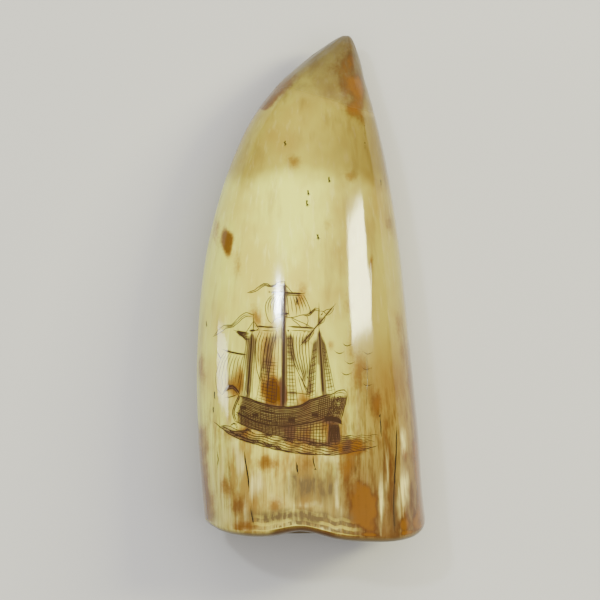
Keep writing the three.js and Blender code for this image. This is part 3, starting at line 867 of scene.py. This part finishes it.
def stained(blobs, seed, wobble=0.35):
    """How strongly blobs colour each place of the front."""
    px = points[:, 0] / PIXEL + PHOTO_MIDDLE[0]
    py = PHOTO_MIDDLE[1] - height / PIXEL
    total = np.zeros(len(points))
    shift_x = noise(px / 9, py / 14, seed) + 0.5 * noise(px / 4, py / 8, seed + 1)
    shift_y = noise(px / 7, py / 12, seed + 2)
    for middle_x, middle_y, half_x, half_y, strength in blobs:
        u = (px - middle_x) / half_x + wobble * shift_x
        v = (py - middle_y) / half_y + wobble * shift_y
        near = u * u + v * v
        spread = np.exp(-near)
        if strength > FLAT_FROM:
            spread = np.minimum(1, 1.4 * np.exp(-((1.1 * near) ** 1.5)))
        total += strength * spread * (1 - 0.5 * total)
    broken = 1 - 0.75 * smooth(-facing, -0.5, 0.1) * (0.5 + 0.5 * ripples(60, 8, seed + 3))
    return total * broken * smooth(facing, -0.4, 0.05) * outside


amber = stained(AMBER, 31)
grey = stained(GREY, 41)
pale = stained(PALE_LANES, 61)
back_stain = ripples(9, 13, 51) * 0.5 + ripples(22, 6, 52) * 0.3
amber += outside * unpolished * np.clip(back_stain - 0.22, 0, 1) * 0.9
amber += outside * unpolished * smooth(-height, 35, 62) * 0.3
# The cavity and the lip over the rim: painted shade with the inside's darker colour, fading towards the
# outside
inside = 1 - outside
for k, (_, _, shade) in enumerate(LIP):
    inside[ring_index == FIRST_ROW - len(LIP) + 1 + k] = shade
above_rim = (height - rim_at(angle_of)) * outside

# Each island's left, width, foot and height on the map: the front gets most of it
ISLANDS = {
    "front": (0.01, 0.62, 0.01, 0.98),
    "back": (0.65, 0.34, 0.01, 0.58),
    "rim": (0.65, 0.34, 0.62, 0.37),
}
MAP_REACH = 60.5


def map_place(corner_ring, corner_angle, corner_y, island):
    """A corner's place on the map, on its own island."""
    low, high = angles[first_column], angles[last_column]
    if island == "front":
        u = (high - corner_angle) / (high - low)
        v = np.interp(corner_y, (-MAP_REACH, 8, MAP_REACH), (0, 0.74, 1))
    elif island == "back":
        u = ((corner_angle - high) % (2 * np.pi + 1e-6)) / (2 * np.pi - (high - low))
        v = (corner_y + MAP_REACH) / (2 * MAP_REACH)
    else:
        u = corner_angle / (2 * np.pi)
        v = corner_ring / (FIRST_ROW + 1)
    left, width, foot, tall = ISLANDS[island]
    return left + width * u, foot + tall * v


def add_object(name, data):
    made = bpy.data.objects.new(name, data)
    bpy.context.collection.objects.link(made)
    return made


mesh = bpy.data.meshes.new("engraved_tooth")
mesh.from_pydata((carved * MM).tolist(), [], faces.tolist())
mesh.update()
tooth = add_object("engraved_tooth", mesh)

uv = np.zeros((len(faces), 3, 2))
lowest_ring = ring_index[faces].min(axis=1)
face_angle = angle_of[faces].copy()
ends = np.isin(faces, ring_ends)
others = np.where(ends, np.nan, face_angle)
wraps = np.nanmax(others, axis=1) - np.nanmin(others, axis=1) > np.pi
face_angle[wraps] += np.where(face_angle[wraps] < np.pi, 2 * np.pi, 0)
others = np.where(ends, np.nan, face_angle)
face_angle = np.where(ends, np.nanmean(others, axis=1)[:, None], face_angle)
middle_angle = face_angle.mean(axis=1)
is_rim = lowest_ring <= FIRST_ROW
is_front = ~is_rim & (middle_angle > angles[first_column]) & (middle_angle < angles[last_column])
is_back = ~is_rim & ~is_front
for island, chosen in (("front", is_front), ("back", is_back), ("rim", is_rim)):
    u, v = map_place(ring_index[faces[chosen]], face_angle[chosen], height[faces[chosen]], island)
    uv[chosen, :, 0], uv[chosen, :, 1] = u, v
mesh.uv_layers.new(name="OFBake").data.foreach_set("uv", uv.ravel())

for name, values in (
    ("ink", ink), ("bleed", bleed / DENSE), ("above_rim", above_rim), ("dirt", dirt), ("amber", amber),
    ("grey", grey), ("pale", pale), ("worn", worn * outside), ("inside", inside), ("back", unpolished),
):
    mesh.attributes.new(name, "FLOAT", "POINT").data.foreach_set("value", values.astype(np.float32))

# All faces take the smooth surface's normals, and those in a crack lean a little towards its walls
CRACKED_FROM = 0.15
CRACK_LEAN = 0.08
corner_normals = normals[faces]
flat_normals = unit(face_normals(carved))
cracked = dirt[faces].max(axis=1) > CRACKED_FROM
corner_normals[cracked] += (flat_normals[cracked][:, None, :] - corner_normals[cracked]) * CRACK_LEAN
mesh.polygons.foreach_set("use_smooth", np.ones(len(faces), bool))
mesh.normals_split_custom_set(corner_normals.reshape(-1, 3).tolist())


class Tree:
    """Short calls for building a material's nodes."""

    def __init__(self, name):
        self.material = bpy.data.materials.new(name)
        self.material.use_nodes = True
        self.tree = self.material.node_tree
        self.tree.nodes.clear()

    def add(self, kind, inputs=(), **settings):
        node = self.tree.nodes.new(kind)
        for key, value in settings.items():
            setattr(node, key, value)
        for key, value in dict(inputs).items():
            if isinstance(value, bpy.types.NodeSocket):
                self.tree.links.new(value, node.inputs[key])
            else:
                node.inputs[key].default_value = value
        return node

    def attribute(self, name):
        return self.add("ShaderNodeAttribute", attribute_name=name).outputs["Fac"]

    def math(self, operation, a, b=0.0, c=0.0):
        return self.add("ShaderNodeMath", {0: a, 1: b, 2: c}, operation=operation).outputs[0]

    def times(self, a, b):
        return self.math("MULTIPLY", a, b)

    def plus(self, a, b):
        return self.math("ADD", a, b)

    def ramp(self, value, low, high, to_low=0.0, to_high=1.0):
        inputs = {"Value": value, "From Min": low, "From Max": high, "To Min": to_low, "To Max": to_high}
        return self.add("ShaderNodeMapRange", inputs, interpolation_type="SMOOTHSTEP").outputs["Result"]

    def mix(self, share, a, b, blend="MIX"):
        inputs = {"Factor": share, 6: a, 7: b}
        return self.add("ShaderNodeMix", inputs, data_type="RGBA", blend_type=blend).outputs[2]

    def cover(self, share, colour, blend="MIX"):
        """Lay a colour over the material's, or multiply by it."""
        self.colour = self.mix(share, self.colour, colour, blend)

    def noise(self, scale, detail=3.0, roughness=0.55, offset=(0, 0, 0)):
        place = self.add("ShaderNodeTexCoord").outputs["Object"]
        mapping = self.add("ShaderNodeMapping", {"Vector": place, "Scale": scale, "Location": offset})
        inputs = {"Vector": mapping.outputs[0], "Scale": 1.0, "Detail": detail, "Roughness": roughness}
        return self.add("ShaderNodeTexNoise", inputs).outputs["Fac"]

    def finished(self, inputs):
        """The material, with one shader that takes the inputs."""
        shader = self.add("ShaderNodeBsdfPrincipled", inputs)
        self.add("ShaderNodeOutputMaterial", {"Surface": shader.outputs[0]})
        return self.material


# Colours, and the tints that darken them in some places
CREAM = (0.74, 0.76, 0.115, 1)
YELLOW = (0.62, 0.54, 0.078, 1)
TAN = (0.39, 0.3, 0.056, 1)
PALE = (0.86, 0.87, 0.24, 1)
BONE = (0.74, 0.66, 0.22, 1)
HONEY = (0.33, 0.195, 0.022, 1)
OLIVE = (0.135, 0.092, 0.026, 1)
HONEY_TINT = (0.55, 0.36, 0.3, 1)
AMBER_COLOUR = (0.15, 0.06, 0.004, 1)
ORANGE_BROWN = (0.105, 0.04, 0.003, 1)
DEEP_BROWN = (0.06, 0.022, 0.006, 1)
GREY_BROWN = (0.11, 0.074, 0.028, 1)
WASH = (0.086, 0.042, 0.022, 1)
RIGHT_TINT = (0.44, 0.365, 0.43, 1)
TIP_TINT = (0.54, 0.45, 0.43, 1)
CAP_TINT = (0.33, 0.31, 0.95, 1)
LOW_RIGHT_TINT = (0.72, 0.58, 0.55, 1)
ROOT_TINT = (0.7, 0.63, 0.95, 1)
INK = (0.036, 0.017, 0.007, 1)
CRACK = (0.012, 0.01, 0.006, 1)

# The growth rings' spacing in millimetres, and where they start
RING_SPACING = 1.85
RING_PHASE = -2.2


def ground_colour(t, x, y, fibres, clouds):
    """Cream, darker towards the tip, the right side and the root, with lengthwise streaks."""
    streaks = t.noise((380, 24, 380), 3, offset=(3, 1, 7))
    hairs = t.noise((3000, 110, 3000), 2, offset=(5, 3, 8))
    uneven = t.math("MULTIPLY_ADD", clouds, 0.012, -0.006)
    t.colour = CREAM
    t.cover(t.ramp(clouds, 0.38, 0.66), YELLOW)
    t.cover(t.ramp(streaks, 0.5, 0.74, 0, 0.45), TAN)
    t.cover(t.ramp(fibres, 0.46, 0.3, 0, 0.4), PALE)
    root = t.ramp(y, -0.012, -0.036)
    blotches = t.noise((170, 52, 170), 4, 0.65, offset=(4, 4, 1))
    t.cover(t.times(root, t.ramp(blotches, 0.46, 0.62, 0, 0.85)), HONEY)
    t.cover(t.times(root, t.ramp(fibres, 0.5, 0.64, 0, 0.45)), HONEY)
    t.cover(t.times(root, t.ramp(hairs, 0.54, 0.7, 0, 0.4)), ORANGE_BROWN)
    shifted_x, shifted_y = t.plus(x, uneven), t.plus(y, uneven)
    t.cover(t.ramp(shifted_x, -0.006, 0.0145), RIGHT_TINT, "MULTIPLY")
    t.cover(t.ramp(shifted_y, 0.022, 0.028), TIP_TINT, "MULTIPLY")
    t.cover(t.ramp(shifted_y, 0.040, 0.058), CAP_TINT, "MULTIPLY")
    low_right = t.times(t.ramp(shifted_x, 0.004, 0.016), t.ramp(shifted_y, -0.006, -0.020))
    t.cover(low_right, LOW_RIGHT_TINT, "MULTIPLY")
    t.cover(t.ramp(shifted_y, -0.026, -0.056), ROOT_TINT, "MULTIPLY")


def growth_rings(t, x, clouds):
    """Rows of short dark dashes that follow the rim, with pale bands between them."""
    above = t.attribute("above_rim")
    phase = t.math("MULTIPLY_ADD", above, 2 * math.pi / RING_SPACING, RING_PHASE)
    phase = t.plus(phase, t.times(clouds, 1.6))
    phase = t.plus(phase, t.times(t.noise((420, 60, 420), 2, offset=(1, 8, 4)), 4.5))
    wave = t.math("SINE", phase)
    window = t.times(t.ramp(above, 0.35, 0.8), t.ramp(above, 6.2, 4.2))
    window = t.times(window, t.ramp(x, -0.0150, -0.0120))
    window = t.times(window, t.ramp(x, 0.0125, 0.0080))
    dashes = t.ramp(t.noise((1300, 330, 1300), 2, offset=(2, 6, 4)), 0.45, 0.57, 0.15, 1)
    pale = t.times(window, t.ramp(wave, 0.0, -0.6, 0, 0.45))
    dark = t.times(t.times(window, dashes), t.ramp(wave, -0.4, 0.4, 0, 0.9))
    t.cover(pale, YELLOW)
    t.cover(dark, GREY_BROWN)


def painted_arch_shade(t, place):
    """The front rim's cut edge under the arch, darkened with painted shade."""
    arch_shade_mask = t.times(t.ramp(place["X"], -0.0105, -0.0080), t.ramp(place["X"], 0.0080, 0.0045))
    arch_shade_mask = t.times(arch_shade_mask, t.ramp(place["Z"], 0.017, 0.022))
    arch_shade_mask = t.times(arch_shade_mask, t.ramp(t.attribute("above_rim"), 1.2, 0.7, 0, 0.85))
    t.cover(arch_shade_mask, DEEP_BROWN)


def ivory():
    t = Tree("aged_ivory")
    fibres = t.noise((1000, 55, 1000), 4)
    clouds = t.noise((75, 50, 75), 3, offset=(9, 4, 2))
    specks = t.noise((1500, 1300, 1500), 2, offset=(6, 2, 9))
    scuffs = t.noise((420, 320, 420), 4, offset=(2, 2, 5))
    place = t.add("ShaderNodeSeparateXYZ", {0: t.add("ShaderNodeTexCoord").outputs["Object"]}).outputs

    ground_colour(t, place["X"], place["Y"], fibres, clouds)
    worn = t.attribute("worn")
    border = t.times(worn, t.math("SUBTRACT", 1.0, worn))
    t.cover(t.times(worn, t.ramp(scuffs, 0.25, 0.75, 0.1, 0.6)), OLIVE)
    t.cover(border, TAN)
    growth_rings(t, place["X"], clouds)

    pale = t.times(t.attribute("pale"), t.ramp(fibres, 0.35, 0.6, 1.15, 0.6))
    t.cover(t.ramp(pale, 0.08, 0.6, 0, 0.8), BONE)
    amber = t.times(t.attribute("amber"), t.ramp(fibres, 0.3, 0.7, 0.88, 1.14))
    amber = t.plus(amber, t.ramp(specks, 0.3, 0.7, -0.04, 0.04))
    t.cover(t.ramp(amber, 0.05, 0.42, 0, 0.9), HONEY_TINT, "MULTIPLY")
    t.cover(t.ramp(amber, 0.26, 0.7, 0, 0.92), AMBER_COLOUR)
    t.cover(t.ramp(amber, 0.84, 1.2), ORANGE_BROWN)
    t.cover(t.ramp(amber, 1.3, 1.8), DEEP_BROWN)
    fibrous = t.ramp(t.noise((900, 200, 900), 3, offset=(7, 7, 1)), 0.36, 0.64, 0.6, 1.2)
    t.cover(t.times(t.attribute("grey"), fibrous), GREY_BROWN)

    # The cavity and the lip: grey-brown and deep brown, painted shade over the inside's own darker colour
    inside = t.attribute("inside")
    t.cover(t.ramp(inside, 0.05, 0.5, 0, 0.9), GREY_BROWN)
    t.cover(t.ramp(inside, 0.6, 1.0), DEEP_BROWN)
    # Painted shade under the front rim's arch, in deep brown
    painted_arch_shade(t, place)

    t.cover(t.ramp(t.attribute("bleed"), 0.48, 1.25, 0, 0.88), WASH)
    ink = t.attribute("ink")
    t.cover(t.ramp(ink, 0.0, 0.36, 0, 0.97), INK)
    dirt = t.attribute("dirt")
    t.cover(t.ramp(dirt, 0.03, 0.4), CRACK)

    rough = t.ramp(clouds, 0.3, 0.7, 0.06, 0.09)
    for dull, amount in ((worn, 0.22), (inside, 0.4), (t.attribute("back"), 0.15), (dirt, 0.08)):
        rough = t.plus(rough, t.times(dull, amount))
    rough = t.plus(rough, t.ramp(place["Y"], -0.03, -0.056, 0, 0.08))

    bump = t.add("ShaderNodeBump", {"Height": fibres, "Strength": 0.12, "Distance": 0.0001})
    scuffed = {"Height": scuffs, "Strength": t.times(worn, 0.5), "Distance": 0.0003}
    bump = t.add("ShaderNodeBump", {**scuffed, "Normal": bump.outputs[0]})
    inputs = {
        "Base Color": t.colour,
        "Roughness": rough,
        "Normal": bump.outputs[0],
        "IOR": 1.5,
        "Subsurface Weight": 0.1,
        "Subsurface Radius": (1.0, 0.6, 0.25),
        "Subsurface Scale": 0.001,
        "Specular IOR Level": 0.42,
        "Coat Weight": 0.1,
        "Coat Roughness": 0.04,
    }
    return t.finished(inputs)


mesh.materials.append(ivory())
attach(tooth, "root")
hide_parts("whale_tooth")

FLOOR_REACH = 4


def floor():
    t = Tree("pale_floor")
    colour = t.mix(t.noise((3, 3, 3), 2), (0.50, 0.49, 0.475, 1), (0.54, 0.53, 0.515, 1))
    data = bpy.data.meshes.new("floor")
    corners = [(x * FLOOR_REACH, y * FLOOR_REACH, 0) for x, y in ((-1, -1), (1, -1), (1, 1), (-1, 1))]
    data.from_pydata(corners, [], [(0, 1, 2, 3)])
    data.materials.append(t.finished({"Base Color": colour, "Roughness": 0.7}))
    add_object("floor", data)


floor()

# Light: a soft surrounding, a window on the right, a small lamp above and a pale wall low on the left
CENTRE = Vector((-0.002, 0.0, 0.02))


def lamp(name, tilt, size, power, colour, distance=1.2, glossy=True):
    """An area light whose direction is tilted from straight up, to the right and to the tip."""
    across, along = (math.radians(angle) for angle in tilt)
    up = math.cos(across) * math.cos(along)
    towards = Vector((math.sin(across) * math.cos(along), math.sin(along), up))
    right = Vector((0, 1, 0)).cross(towards).normalized()
    data = bpy.data.lights.new(name, "AREA")
    data.shape = "RECTANGLE"
    data.size, data.size_y = (2 * distance * math.tan(math.radians(angle) / 2) for angle in size)
    data.energy = power
    data.color = colour
    light = add_object(name, data)
    light.matrix_world = Matrix((right, towards.cross(right), towards)).transposed().to_4x4()
    light.location = CENTRE + towards * distance
    light.visible_glossy = glossy


lamp("window", (46.5, 16.0), (23, 7.0), 16.5, (1.0, 0.99, 0.56))
lamp("small_lamp", (-16, 15.3), (3.4, 2.2), 3.4, (0.85, 0.93, 1.0))
lamp("left_wall", (-77, 4.5), (20, 8), 3.6, (1.0, 0.98, 0.82))
lamp("softbox", (8, 12), (60, 60), 27.0, (1.0, 0.98, 0.95), glossy=False)

world = bpy.data.worlds.new("studio")
world.use_nodes = True
world.node_tree.nodes["Background"].inputs["Color"].default_value = (0.9, 0.93, 1.0, 1)
world.node_tree.nodes["Background"].inputs["Strength"].default_value = 0.2
bpy.context.scene.world = world

# The camera looks straight down, framed as the photograph at the height of the tooth's middle
FRAME_SIDE = PHOTO_SIDE * PIXEL * MM
FRAME_PLANE = 0.018
CAMERA_HEIGHT = 1.6
frame_x, frame_y = at_photo(PHOTO_SIDE / 2, PHOTO_SIDE / 2)
camera_data = bpy.data.cameras.new("camera")
camera_data.sensor_width = 36
camera_data.lens = camera_data.sensor_width * (CAMERA_HEIGHT - FRAME_PLANE) / FRAME_SIDE
camera = add_object("camera", camera_data)
camera.location = (frame_x * MM, frame_y * MM, CAMERA_HEIGHT)
bpy.context.scene.camera = camera
